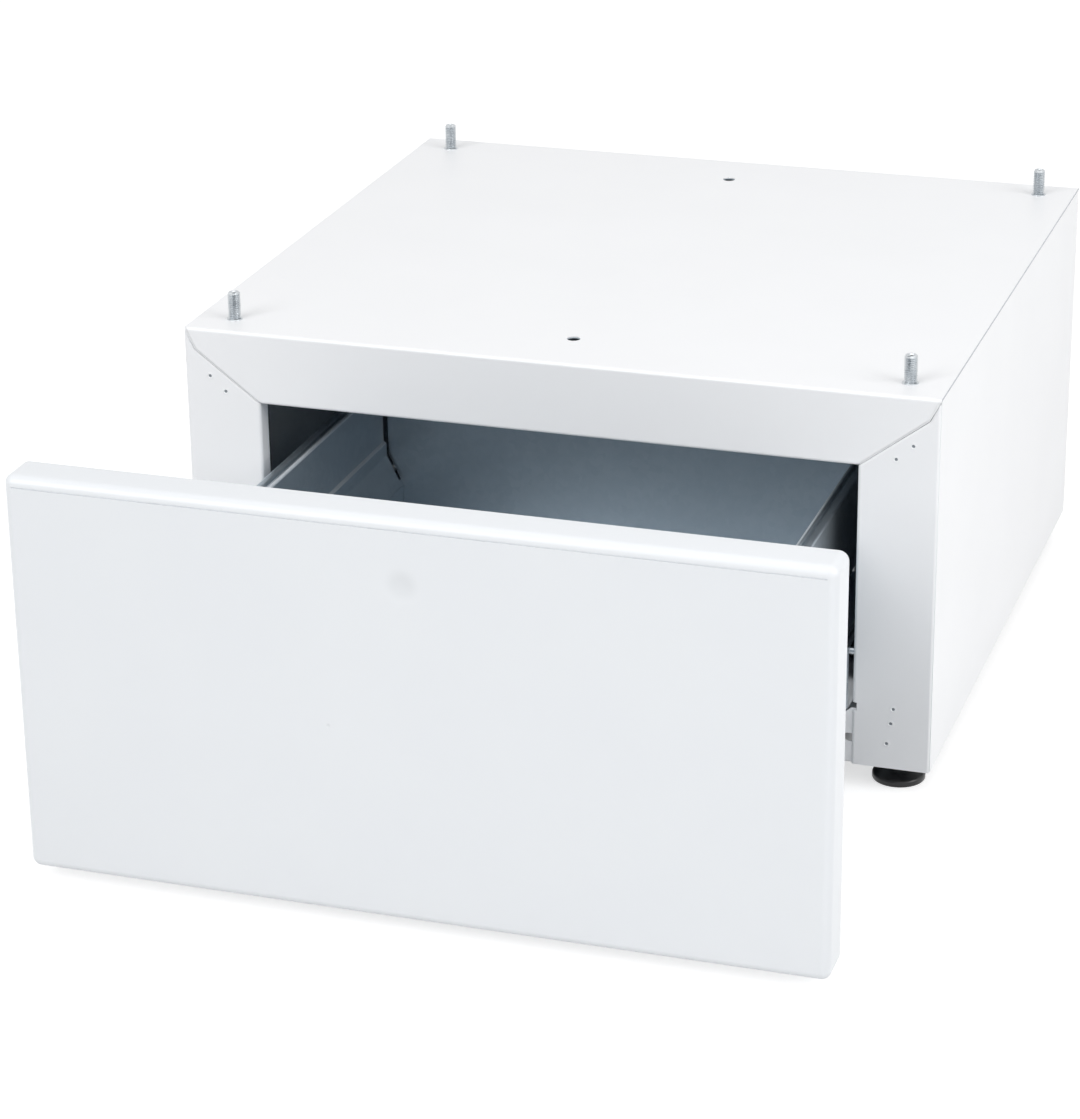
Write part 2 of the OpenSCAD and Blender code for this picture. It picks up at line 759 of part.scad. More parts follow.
// Channel between a drawer side and its slide, closed in under the floor
module runner_rail() {
    h = box_sheet / 2;
    wall = low_x + box_sheet + h;
    color(zinc) pulled(1) difference() {
        along_y(box_front_y, box_rear_y)
            folded([[wall, slide_z + inner_half_h + 15], [wall, slide_z + inner_half_h - h],
                [box_x - h, slide_z + inner_half_h - h], [box_x - h, runner_low_z + h],
                [low_x - floor_lap, runner_low_z + h]], box_sheet, box_fold_r);
        at_slide_screws_in_place() mirror([0, 0, 1]) slide_screw(0.05);
    }
}

module at_slide_screws_in_place() {
    for (k = screw_ys)
        translate([box_x + slide_sheet, slide_front + k * slide_l, slide_z])
            rotate([0, 90, 0]) children();
}

// ---------- drawer front ----------

front_y = box_front_y - front_t;
front_low_z = -front_drop;
front_high_z = front_low_z + front_h;
front_mid_z = (front_low_z + front_high_z) / 2;
stiffener_inset = 40;
stiffener_half = 34;
stiffener_flange = 16;

function rounded(low, high, r) = concat(
    arc([high[0] - r, high[1] - r], r, 0, 90, 9), arc([low[0] + r, high[1] - r], r, 90, 180, 9),
    arc([low[0] + r, low[1] + r], r, 180, 270, 9), arc([high[0] - r, low[1] + r], r, 270, 360, 9));

// A block with rounded corners and rounded front edges, drawn in by d all round
module front_block(d, rear) {
    r = front_r - d;
    x = half_w - d;
    z = [front_low_z + d, front_high_z - d];
    y = front_y + d;
    past = rear + 3 * front_r;
    intersection() {
        along_y(y - 1, rear) polygon(rounded([-x, z[0]], [x, z[1]], r));
        translate([0, 0, z[0] - 1]) linear_extrude(z[1] - z[0] + 2)
            polygon(rounded([-x, y], [x, past], r));
        along_x(-x - 1, x + 1) polygon(rounded([y, z[0]], [past, z[1]], r));
    }
}

module front_skin() {
    inset = front_flange;
    color(white) pulled(1) difference() {
        front_block(0, box_front_y);
        front_block(skin, box_front_y - skin);
        box([-half_w + inset, box_front_y - skin - 1, front_low_z + inset],
            [half_w - inset, box_front_y + 1, front_high_z - inset]);
    }
}

module front_cover() {
    inset = skin + 0.5;
    y = box_front_y - skin;
    color(zinc) pulled(1) difference() {
        box([-half_w + inset + front_r, y - skin, front_low_z + inset + front_r],
            [half_w - inset - front_r, y, front_high_z - inset - front_r]);
        at_front_screws() cylinder(r = 2.1, h = 8, center = true);
    }
}

// Hat channel inside the front, between the skin and the cover
module front_stiffener() {
    y0 = front_y + skin + sheet / 2;
    y1 = box_front_y - 2 * skin - sheet / 2;
    flange_z = front_mid_z + stiffener_half;
    web_z = front_mid_z + stiffener_half - stiffener_flange;
    right = half_w - stiffener_inset;
    color(zinc) pulled(1) along_x(-right, right)
        folded([[y1, flange_z], [y1, web_z], [y0, web_z], [y0, 2 * front_mid_z - web_z],
            [y1, 2 * front_mid_z - web_z], [y1, 2 * front_mid_z - flange_z]], sheet, fold_r);
}

bumper_inset = 30;

module bumpers() {
    color("#d8dadb") pulled(1)
        for (x = [-1, 1], z = [front_low_z + bumper_inset, front_high_z - bumper_inset])
        translate([x * (half_w - front_flange / 2), box_front_y, z]) rotate([-90, 0, 0])
            cylinder(r1 = 5, r2 = 4, h = front_gap - 0.2);
}

// ---------- assembly ----------

module place() {
    translate([0, -mid_y, stand_h]) children();
}

place() top_panel();
place() left_hand() side_panel();  // side_panel_left
place() side_panel();  // side_panel_right
place() back_panel();
place() bottom_rail_front();
place() bottom_rail_rear();
place() left_hand() stud_rail();  // stud_rail_left
place() stud_rail();  // stud_rail_right
place() corner(false, false) post();  // post_front_left
place() corner(true, false) post();  // post_front_right
place() corner(false, true) post();  // post_rear_left
place() corner(true, true) post();  // post_rear_right
place() corner(false, false) foot_bracket();  // foot_bracket_front_left
place() corner(true, false) foot_bracket();  // foot_bracket_front_right
place() corner(false, true) foot_bracket();  // foot_bracket_rear_left
place() corner(true, true) foot_bracket();  // foot_bracket_rear_right
place() studs();
place() weld_nuts();
place() lock_nuts();
place() back_screws();
place() left_hand() slide_bracket();  // slide_bracket_left
place() slide_bracket();  // slide_bracket_right
place() tie_screws();
place() slide_screws();
place() left_hand() slide_outer();  // slide_outer_left
place() slide_outer();  // slide_outer_right
place() left_hand() slide_middle();  // slide_middle_left
place() slide_middle();  // slide_middle_right
place() left_hand() slide_inner();  // slide_inner_left
place() slide_inner();  // slide_inner_right
place() left_hand() cage_outer();  // cage_outer_left
place() cage_outer();  // cage_outer_right
place() left_hand() cage_inner();  // cage_inner_left
place() cage_inner();  // cage_inner_right
place() left_hand() balls_outer();  // balls_outer_left
place() balls_outer();  // balls_outer_right
place() left_hand() balls_inner();  // balls_inner_left
place() balls_inner();  // balls_inner_right
place() front_skin();
place() front_cover();
place() front_stiffener();
place() box_front();
place() box_floor();
place() left_hand() box_side();  // box_side_left
place() box_side();  // box_side_right
place() box_back();
place() left_hand() runner_rail();  // runner_rail_left
place() runner_rail();  // runner_rail_right
place() runner_screws();
place() front_screws();
place() bumpers();
place() corner(false, false) foot_pad();  // pad_front_left
place() corner(true, false) foot_pad();  // pad_front_right
place() corner(false, true) foot_pad();  // pad_rear_left
place() corner(true, true) foot_pad();  // pad_rear_right
place() corner(false, false) foot_spindle();  // spindle_front_left
place() corner(true, false) foot_spindle();  // spindle_front_right
place() corner(false, true) foot_spindle();  // spindle_rear_left
place() corner(true, true) foot_spindle();  // spindle_rear_right
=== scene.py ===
"""A white washer pedestal with its drawer pulled out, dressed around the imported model.

Everything is in metres. The sections follow the pedestal as it is put together: cabinet,
spot welds, inner frame, studs, feet, slides, drawer box, drawer front and bumpers, and last
the studio it stands in."""

import math

import bmesh
import bpy
from mathutils import Matrix, Vector


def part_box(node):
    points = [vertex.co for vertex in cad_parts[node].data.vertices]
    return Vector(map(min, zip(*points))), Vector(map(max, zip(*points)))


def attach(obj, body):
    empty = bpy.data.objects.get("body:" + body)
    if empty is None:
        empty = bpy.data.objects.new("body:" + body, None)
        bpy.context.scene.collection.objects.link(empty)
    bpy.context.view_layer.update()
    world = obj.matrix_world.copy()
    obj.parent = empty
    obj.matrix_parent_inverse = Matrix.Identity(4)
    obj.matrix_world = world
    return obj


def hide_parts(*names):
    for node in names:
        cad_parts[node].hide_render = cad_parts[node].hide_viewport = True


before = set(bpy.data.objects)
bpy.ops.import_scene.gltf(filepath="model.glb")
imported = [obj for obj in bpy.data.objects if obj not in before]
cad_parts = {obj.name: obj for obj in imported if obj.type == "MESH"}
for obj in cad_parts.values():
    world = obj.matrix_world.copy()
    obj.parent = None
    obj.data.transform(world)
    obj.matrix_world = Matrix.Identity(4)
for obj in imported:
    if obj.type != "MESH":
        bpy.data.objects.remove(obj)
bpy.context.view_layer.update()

# ---------------------------------------------------------------- cabinet
# The cabinet is folded from 1.5 mm zinc-coated steel and baked with a white polyester
# powder coat outside. Inside, the sheet keeps the thin grey backing coat of the coil. The
# top sheet lies on the side panels' flanges, and its cut sides end flush with their walls.
MM = 0.001
SHEET = 1.5 * MM
FRAME_DEPTH = 15.5 * MM
COAT_WHITE = "#f4f5f7"
COAT_SHADE = "#f1f2f4"
BACKING_GREY = "#bcc8d1"
# Grey painted on the top sheet's cut sides, as painted shade of their seam
SEAM_SHADE_GREY = "#acb1b7"
CUT_EDGE_WIDTH = 0.2 * MM
CLOUD_SIZE = 90 * MM
PEEL_SIZE = 2.2 * MM
# Spot welds, and the ends and the bend of the mitre seam, each as its place out from the
# middle and above the floor. Both halves of the front frame have them
SPOT_WELDS = [(278 * MM, 282.5 * MM), (265.4 * MM, 271 * MM), (268.6 * MM, 70 * MM),
              (266.9 * MM, 57.8 * MM), (264.1 * MM, 40.9 * MM)]
MITRE_SEAM = [(298 * MM, 320.5 * MM), (289.5 * MM, 303 * MM), (237 * MM, 263.2 * MM)]
# Grey painted into the weld craters' cores, as painted shade in the dents
CRATER_SHADE_GREY = "#7f868c"
CRATER_CORE = 1.1 * MM
CRATER_EDGE = 1.5 * MM
ROLLED_FROM = 0.1 * MM
ROLLED_TO = 1.8 * MM
ROLLED_DEPTH = 0.9 * MM


def hex_colour(code):
    """An sRGB hex code as the linear colour that a shader takes."""
    parts = [int(code[i:i + 2], 16) / 255 for i in (1, 3, 5)]
    return [p / 12.92 if p <= 0.04045 else ((p + 0.055) / 1.055) ** 2.4 for p in parts] + [1]


def add(tree, kind, values=None, links=None, **properties):
    """Adds one shader node with its properties, input values and incoming links."""
    made = tree.nodes.new(kind)
    for name, value in properties.items():
        setattr(made, name, value)
    for name, value in (values or {}).items():
        made.inputs[name].default_value = value
    for name, source in (links or {}).items():
        tree.links.new(source, made.inputs[name])
    return made


def new_finish(name):
    """A material with its node tree and its shader."""
    material = bpy.data.materials.new(name)
    material.use_nodes = True
    return material, material.node_tree, material.node_tree.nodes["Principled BSDF"]


def wear(material, *names):
    """Gives CAD nodes their finish."""
    for name in names:
        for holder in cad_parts[name].material_slots:
            holder.material = material


def both_halves(tree, place):
    """A point's place out from the middle, to the rear and up, alike on both halves."""
    axes = add(tree, "ShaderNodeSeparateXYZ", links={"Vector": place})
    out = add(tree, "ShaderNodeMath", links={0: axes.outputs["X"]}, operation="ABSOLUTE")
    return out.outputs[0], axes.outputs["Y"], axes.outputs["Z"]


def seen_from_front(tree, place):
    """A point's place on either half without its depth."""
    out, _, up = both_halves(tree, place)
    return add(tree, "ShaderNodeCombineXYZ", links={"X": out, "Z": up}).outputs[0]


def far_from(tree, place, spots):
    """How far a point is from the nearest of some spots, seen from the front."""
    seen = seen_from_front(tree, place)
    nearest = None
    for x, z in spots:
        far = add(tree, "ShaderNodeVectorMath", {1: (x, 0, z)}, {0: seen},
                  operation="DISTANCE").outputs["Value"]
        if nearest:
            far = add(tree, "ShaderNodeMath", links={0: nearest, 1: far},
                      operation="MINIMUM").outputs[0]
        nearest = far
    return nearest


def crater_shade_and_rolled_edge(tree, place):
    """A mask of painted shade in the weld craters' cores, and the height of the cut edges that
    the press rolled over along the mitre seam, both on the frame's outer face."""
    _, back, _ = both_halves(tree, place)
    seen = seen_from_front(tree, place)
    on_face = add(tree, "ShaderNodeMath", {1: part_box("side_panel_left")[0].y + SHEET}, {0: back},
                  operation="LESS_THAN").outputs[0]
    seam = None
    for (x0, z0), (x1, z1) in zip(MITRE_SEAM, MITRE_SEAM[1:]):
        outwards = Vector((z0 - z1, 0, x1 - x0)).normalized()
        offset = add(tree, "ShaderNodeVectorMath", {1: (x0, 0, z0)}, {0: seen},
                     operation="SUBTRACT")
        off = add(tree, "ShaderNodeVectorMath", {1: outwards}, {0: offset.outputs[0]},
                  operation="DOT_PRODUCT").outputs["Value"]
        if seam:
            off = add(tree, "ShaderNodeMath", links={0: seam, 1: off},
                      operation="MAXIMUM").outputs[0]
        seam = off
    from_seam = add(tree, "ShaderNodeMath", links={0: seam}, operation="ABSOLUTE")
    crater_shade = add(tree, "ShaderNodeMapRange",
               {"From Min": CRATER_CORE, "From Max": CRATER_EDGE, "To Min": 1, "To Max": 0},
               {"Value": far_from(tree, place, SPOT_WELDS)}, interpolation_type="SMOOTHSTEP")
    rolled = add(tree, "ShaderNodeMapRange",
                 {"From Min": ROLLED_FROM, "From Max": ROLLED_TO, "To Min": -1, "To Max": 0},
                 {"Value": from_seam.outputs[0]}, interpolation_type="SMOOTHSTEP")
    return [add(tree, "ShaderNodeMath", links={0: on_face, 1: mark.outputs[0]},
                operation="MULTIPLY").outputs[0] for mark in (crater_shade, rolled)]


def all_within(tree, limits):
    """A mask of the points whose every place lies on the wanted side of its limit."""
    mask = None
    for at, limit, sense in limits:
        within = add(tree, "ShaderNodeMath", {1: limit}, {0: at}, operation=sense).outputs[0]
        if mask:
            within = add(tree, "ShaderNodeMath", links={0: mask, 1: within},
                         operation="MULTIPLY").outputs[0]
        mask = within
    return mask


def white_coat(name, backed):
    """Polyester powder coat: satin, with a fine orange peel that softens its reflections.
    A backed sheet is grey wherever it faces the inside of the cabinet."""
    material, tree, shader = new_finish(name)
    place = add(tree, "ShaderNodeTexCoord").outputs["Object"]
    cloud = add(tree, "ShaderNodeTexNoise", {"Scale": 1 / CLOUD_SIZE, "Detail": 2}, {"Vector": place})
    white = add(tree, "ShaderNodeMixRGB",
                {"Color1": hex_colour(COAT_WHITE), "Color2": hex_colour(COAT_SHADE)},
                {"Fac": cloud.outputs["Fac"]})
    colour = white.outputs["Color"]
    peel = add(tree, "ShaderNodeTexNoise", {"Scale": 1 / PEEL_SIZE, "Detail": 1}, {"Vector": place})
    gloss = add(tree, "ShaderNodeMapRange", {"To Min": 0.34, "To Max": 0.42},
                {"Value": cloud.outputs["Fac"]})
    bump = add(tree, "ShaderNodeBump", {"Strength": 0.25, "Distance": 0.02 * MM},
               {"Height": peel.outputs["Fac"]})
    if backed:
        low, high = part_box("side_panel_left")[0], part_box("side_panel_right")[1]
        out, back, up = both_halves(tree, place)
        crater_shade, rolled = crater_shade_and_rolled_edge(tree, place)
        # The cabinet's shell, drawn in by half a sheet: what lies within it is backing. The
        # rear limit is half way into the back panel, which lies inside the rear flanges
        inside = all_within(tree, ((out, high.x - SHEET / 2, "LESS_THAN"),
                                   (back, low.y + FRAME_DEPTH, "GREATER_THAN"),
                                   (back, high.y - 1.5 * SHEET, "LESS_THAN"),
                                   (up, low.z + SHEET / 2, "GREATER_THAN"),
                                   (up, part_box("top_panel")[1].z - SHEET / 2, "LESS_THAN")))
        # The top sheet's cut sides are painted grey, as painted shade of the seam where the top sheet
        # meets the side walls
        seam_shade = all_within(tree, ((out, high.x - CUT_EDGE_WIDTH, "GREATER_THAN"),
                                     (up, high.z, "GREATER_THAN")))
        # The weld craters' cores are greyed as painted shade in their dents
        for grey, mask in ((CRATER_SHADE_GREY, crater_shade), (BACKING_GREY, inside), (SEAM_SHADE_GREY, seam_shade)):
            colour = add(tree, "ShaderNodeMixRGB", {"Color2": hex_colour(grey)},
                         {"Fac": mask, "Color1": colour}).outputs["Color"]
        pressed = add(tree, "ShaderNodeBump", {"Strength": 0.8, "Distance": ROLLED_DEPTH},
                      {"Height": rolled})
        tree.links.new(pressed.outputs["Normal"], bump.inputs["Normal"])
    tree.links.new(colour, shader.inputs["Base Color"])
    tree.links.new(gloss.outputs["Result"], shader.inputs["Roughness"])
    tree.links.new(bump.outputs["Normal"], shader.inputs["Normal"])
    return material


wear(white_coat("powder_coat_on_backed_sheet", True),
     "top_panel", "side_panel_left", "side_panel_right", "back_panel")
plain_coat = white_coat("powder_coat", False)
wear(plain_coat, "bottom_rail_front", "bottom_rail_rear")

# ---------------------------------------------------------------- spot weld rims
# Each stile carries five spot welds. The electrodes pushed up a low rim of steel round each
# spot, and the powder coat runs over it.

# The section of a rim, as (radius, rise over the stile's face) in millimetres
RIM_SECTION = [(1.2, -0.3), (1.3, 0.02), (1.6, 0.2), (2.0, 0.24), (2.6, 0.1), (3.1, 0.02),
               (3.2, -0.3), (1.2, -0.3)]
RIM_STEPS = 24


def turned(mesh, profile, axis, steps=40):
    """Spins a profile of (radius, height) round a vertical axis at (x, y)."""
    line = [mesh.verts.new((axis[0] + r, axis[1], z)) for r, z in profile]
    edges = [mesh.edges.new(pair) for pair in zip(line, line[1:])]
    bmesh.ops.spin(mesh, geom=line + edges, cent=(*axis, 0), axis=(0, 0, 1), angle=math.tau,
                   steps=steps, use_merge=True)
    bmesh.ops.remove_doubles(mesh, verts=mesh.verts, dist=1e-7)
    bmesh.ops.recalc_face_normals(mesh, faces=mesh.faces)


def join(whole, part):
    """Adds a finished part to a mesh, and ends the part."""
    carrier = bpy.data.meshes.new("carrier")
    part.to_mesh(carrier)
    whole.from_mesh(carrier)
    part.free()
    bpy.data.meshes.remove(carrier)


def piece(name, mesh, material, body, slot, *stands_for, smooth=35):
    """Turns a bmesh into a finished piece that rides on its body."""
    data = bpy.data.meshes.new(name)
    mesh.to_mesh(data)
    mesh.free()
    data.materials.append(material)
    data.shade_smooth()
    data.set_sharp_from_angle(angle=math.radians(smooth))
    made = bpy.data.objects.new(name, data)
    bpy.context.scene.collection.objects.link(made)
    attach(made, body)
    if stands_for:
        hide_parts(*stands_for)


stile_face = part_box("side_panel_left")[0].y
weld_rims = bmesh.new()
for x, z in SPOT_WELDS:
    for across in (-x, x):
        weld_rim = bmesh.new()
        turned(weld_rim, [(r * MM, rise * MM) for r, rise in RIM_SECTION], (0, 0), RIM_STEPS)
        bmesh.ops.rotate(weld_rim, verts=weld_rim.verts,
                         matrix=Matrix.Rotation(math.radians(90), 3, "X"))
        bmesh.ops.translate(weld_rim, verts=weld_rim.verts, vec=(across, stile_face, z))
        join(weld_rims, weld_rim)
piece("spot_weld_rims", weld_rims, plain_coat, "cabinet", "white_powder_coat", smooth=50)

# ---------------------------------------------------------------- inner frame
# Posts, stud rails and brackets are pressed from bare hot-dip galvanised sheet. Its zinc
# froze in small flat crystals, so it is a mottled, cool grey with soft reflections.
ZINC_LIGHT = "#b4bcc2"
ZINC_DARK = "#939ba2"
ZINC_METALLIC = 0.85
CRYSTAL_SIZE = 5 * MM
HAZE_SIZE = 40 * MM
ZINC_GRAIN = 1.2 * MM


def zinc_sheet(name, light, dark):
    """Galvanised steel with minimised spangle: crystals differ a little in tone and gloss."""
    material, tree, shader = new_finish(name)
    place = add(tree, "ShaderNodeTexCoord").outputs["Object"]
    crystals = add(tree, "ShaderNodeTexVoronoi", {"Scale": 1 / CRYSTAL_SIZE}, {"Vector": place})
    tone = add(tree, "ShaderNodeSeparateColor", links={"Color": crystals.outputs["Color"]})
    haze = add(tree, "ShaderNodeTexNoise", {"Scale": 1 / HAZE_SIZE, "Detail": 3}, {"Vector": place})
    mottle = add(tree, "ShaderNodeMath", links={0: tone.outputs[0], 1: haze.outputs["Fac"]},
                 operation="MULTIPLY")
    zinc = add(tree, "ShaderNodeMixRGB", {"Color1": hex_colour(dark), "Color2": hex_colour(light)},
               {"Fac": mottle.outputs[0]})
    gloss = add(tree, "ShaderNodeMapRange", {"To Min": 0.29, "To Max": 0.36},
                {"Value": tone.outputs[1]})
    grain = add(tree, "ShaderNodeTexNoise", {"Scale": 1 / ZINC_GRAIN, "Detail": 2}, {"Vector": place})
    bump = add(tree, "ShaderNodeBump", {"Strength": 0.2, "Distance": 0.02 * MM},
               {"Height": grain.outputs["Fac"]})
    tree.links.new(zinc.outputs["Color"], shader.inputs["Base Color"])
    tree.links.new(gloss.outputs["Result"], shader.inputs["Roughness"])
    tree.links.new(bump.outputs["Normal"], shader.inputs["Normal"])
    shader.inputs["Metallic"].default_value = ZINC_METALLIC
    return material


inner_zinc = zinc_sheet("galvanised_sheet", ZINC_LIGHT, ZINC_DARK)
sides = ("left", "right")
corners = [f"{end}_{side}" for end in ("front", "rear") for side in sides]
wear(inner_zinc, *(f"stud_rail_{side}" for side in sides), *(f"slide_bracket_{side}" for side in sides),
     *(f"post_{corner}" for corner in corners), *(f"foot_bracket_{corner}" for corner in corners))

# ---------------------------------------------------------------- studs
# Four M10 studs stand on the top for the machine's corners. Each is rolled steel with a
# bright zinc plating, has a cupped tip, and passes a pressed collar where it leaves the top.
THREAD_PITCH = 1.5 * MM
# One tooth of the thread, as (0 at the root or 1 at the crest, share of the pitch)
THREAD_FLANK = [(0, 0), (0, 0.12), (1, 0.5), (1, 0.62)]
TIP_CHAMFER = 1.0 * MM
TIP_RIM = 1.1 * MM
CUP_SLOPE = 1.2 * MM
CUP_DEPTH = 1.0 * MM
STUD_RADIUS = 5 * MM
STUD_ROOT = 4.08 * MM
HEAD_RADIUS = 8 * MM
HEAD_HEIGHT = 3 * MM
HEAD_CHAMFER = 0.4 * MM
SHANK_RADIUS = 5.5 * MM
COLLAR_RADIUS = 6.2 * MM
COLLAR_HEIGHT = 0.8 * MM
COLLAR_CHAMFER = 0.3 * MM
PLATE_LIGHT = "#dfe2e4"
PLATE_DARK = "#b4babf"
PLATE_PATCH = 6 * MM


def plated_steel(name, roughness):
    """Blue-passivated zinc plating: bright and slightly milky, duller in patches."""
    material, tree, shader = new_finish(name)
    place = add(tree, "ShaderNodeTexCoord").outputs["Object"]
    patches = add(tree, "ShaderNodeTexNoise", {"Scale": 1 / PLATE_PATCH, "Detail": 4},
                  {"Vector": place})
    plating = add(tree, "ShaderNodeMixRGB",
                  {"Color1": hex_colour(PLATE_DARK), "Color2": hex_colour(PLATE_LIGHT)},
                  {"Fac": patches.outputs["Fac"]})
    gloss = add(tree, "ShaderNodeMapRange", {"To Min": roughness - 0.06, "To Max": roughness + 0.08},
                {"Value": patches.outputs["Fac"]})
    tree.links.new(plating.outputs["Color"], shader.inputs["Base Color"])
    tree.links.new(gloss.outputs["Result"], shader.inputs["Roughness"])
    shader.inputs["Metallic"].default_value = 1
    return material


def threaded_rod(mesh, axis, low, high, crest, root, steps=28):
    """A rolled thread: one zigzag of the flanks, spun once and raised by one pitch, so that
    each turn runs on into the next. Both ends are cut flat and closed, and the top one is
    chamfered and cupped."""
    rod = bmesh.new()
    turns = math.ceil((high - low) / THREAD_PITCH) + 2
    points = [(crest if tooth else root, low + (turn - 1 + share) * THREAD_PITCH)
              for turn in range(turns) for tooth, share in THREAD_FLANK]
    line = [rod.verts.new((axis[0] + r, axis[1], z)) for r, z in points]
    edges = [rod.edges.new(pair) for pair in zip(line, line[1:])]
    bmesh.ops.spin(rod, geom=line + edges, cent=(*axis, 0), axis=(0, 0, 1), angle=math.tau,
                   dvec=(0, 0, THREAD_PITCH / steps), steps=steps)
    bmesh.ops.remove_doubles(rod, verts=rod.verts, dist=1e-6)
    for height, outwards in ((low, -1), (high, 1)):
        bmesh.ops.bisect_plane(rod, geom=rod.verts[:] + rod.edges[:] + rod.faces[:],
                               plane_co=(0, 0, height), plane_no=(0, 0, outwards), clear_outer=True)
    bmesh.ops.holes_fill(rod, edges=[edge for edge in rod.edges if edge.is_boundary])
    for vert in rod.verts:
        reach = Vector((vert.co.x - axis[0], vert.co.y - axis[1]))
        limit = crest - max(0, vert.co.z - (high - TIP_CHAMFER))
        if reach.length > limit:
            reach *= limit / reach.length
            vert.co.x, vert.co.y = axis[0] + reach.x, axis[1] + reach.y
    bmesh.ops.recalc_face_normals(rod, faces=rod.faces)
    if rod.calc_volume(signed=True) < 0:
        bmesh.ops.reverse_faces(rod, faces=rod.faces)
    tip = max(rod.faces, key=lambda face: face.calc_center_median().z)
    bmesh.ops.inset_individual(rod, faces=[tip], thickness=TIP_RIM)
    bmesh.ops.inset_individual(rod, faces=[tip], thickness=CUP_SLOPE, depth=-CUP_DEPTH)
    join(mesh, rod)


studs_low, studs_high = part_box("studs")
top_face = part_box("top_panel")[1].z
head_low = studs_low.z
head_high = head_low + HEAD_HEIGHT
collar_high = top_face + COLLAR_HEIGHT
studs = bmesh.new()
for x in (studs_low.x + HEAD_RADIUS, studs_high.x - HEAD_RADIUS):
    for y in (studs_low.y + HEAD_RADIUS, studs_high.y - HEAD_RADIUS):
        turned(studs, [(0, head_low), (HEAD_RADIUS - HEAD_CHAMFER, head_low),
                       (HEAD_RADIUS, head_low + HEAD_CHAMFER), (HEAD_RADIUS, head_high),
                       (SHANK_RADIUS, head_high), (SHANK_RADIUS, top_face), (COLLAR_RADIUS, top_face),
                       (COLLAR_RADIUS, collar_high - COLLAR_CHAMFER),
                       (COLLAR_RADIUS - COLLAR_CHAMFER, collar_high),
                       (STUD_RADIUS - 0.4 * MM, collar_high), (0, collar_high)], (x, y))
        threaded_rod(studs, (x, y), collar_high - 0.2 * MM, studs_high.z, STUD_RADIUS, STUD_ROOT)
bright_plating = plated_steel("zinc_plating", 0.28)
piece("threaded_studs", studs, bright_plating, "cabinet", "plated_steel", "studs")

# ---------------------------------------------------------------- feet
# Each foot is a black polyamide pad that snaps on a plated spindle. The spindle turns in a
# nut welded to its bracket, and a lock nut below the bracket holds what is set.
PAD_BLACK = "#141517"
PAD_GRAIN = 0.9 * MM
# Grooves under the pad, and the section of one as (from its middle, up) in millimetres
GROOVE_RADII = (15.5, 12, 8.5, 5)
GROOVE_SECTION = ((0.7, 0), (0.5, 0.6), (-0.5, 0.6), (-0.7, 0))
PAD_SHOULDER = 2.2 * MM
SHOULDER_HEIGHT = 3.6 * MM
HUB_RADIUS = 9.5 * MM
SOCKET_DEPTH = 6.5 * MM
SPINDLE_RADIUS = 4.5 * MM
SPINDLE_ROOT = 3.85 * MM
SPINDLE_HEX_FLATS = 13 * MM
SPINDLE_HEX_HEIGHT = 3 * MM
NUT_FLATS = 17 * MM
NUT_POINTS = 36


def moulded_black(name):
    """Glass-filled polyamide: near black, half glossy, with a fine sparked texture."""
    material, tree, shader = new_finish(name)
    place = add(tree, "ShaderNodeTexCoord").outputs["Object"]
    grain = add(tree, "ShaderNodeTexNoise", {"Scale": 1 / PAD_GRAIN, "Detail": 3}, {"Vector": place})
    gloss = add(tree, "ShaderNodeMapRange", {"To Min": 0.24, "To Max": 0.4},
                {"Value": grain.outputs["Fac"]})
    bump = add(tree, "ShaderNodeBump", {"Strength": 0.3, "Distance": 0.03 * MM},
               {"Height": grain.outputs["Fac"]})
    tree.links.new(gloss.outputs["Result"], shader.inputs["Roughness"])
    tree.links.new(bump.outputs["Normal"], shader.inputs["Normal"])
    shader.inputs["Base Color"].default_value = hex_colour(PAD_BLACK)
    return material


def hex_nut(mesh, axis, low, high, flats, bore):
    """A nut with both ends turned to a 30 degree chamfer: a ring of six sides whose outer
    points drop as far as they stand out past the flats."""
    nut = bmesh.new()
    for vert in bmesh.ops.create_circle(nut, segments=NUT_POINTS, radius=bore)["verts"]:
        vert.co.z = low
    outer = bmesh.ops.extrude_edge_only(nut, edges=nut.edges[:])["geom"]
    for vert in [made for made in outer if isinstance(made, bmesh.types.BMVert)]:
        turn = math.atan2(vert.co.y, vert.co.x) % (math.pi / 3) - math.pi / 6
        reach = flats / 2 / math.cos(turn)
        vert.co.xy = vert.co.xy.normalized() * reach
        vert.co.z = low + max(0, reach - flats / 2 * 1.02) * math.tan(math.radians(30))
    bmesh.ops.mirror(nut, geom=nut.verts[:] + nut.edges[:] + nut.faces[:],
                     matrix=Matrix.Translation((0, 0, -(low + high) / 2)), merge_dist=0, axis="Z")
    bmesh.ops.bridge_loops(nut, edges=[edge for edge in nut.edges if edge.is_boundary
                                       and edge.verts[0].co.xy.length > flats / 2 - 1e-6])
    bmesh.ops.bridge_loops(nut, edges=[edge for edge in nut.edges if edge.is_boundary])
    bmesh.ops.recalc_face_normals(nut, faces=nut.faces)
    bmesh.ops.translate(nut, verts=nut.verts, vec=(*axis, 0))
    join(mesh, nut)


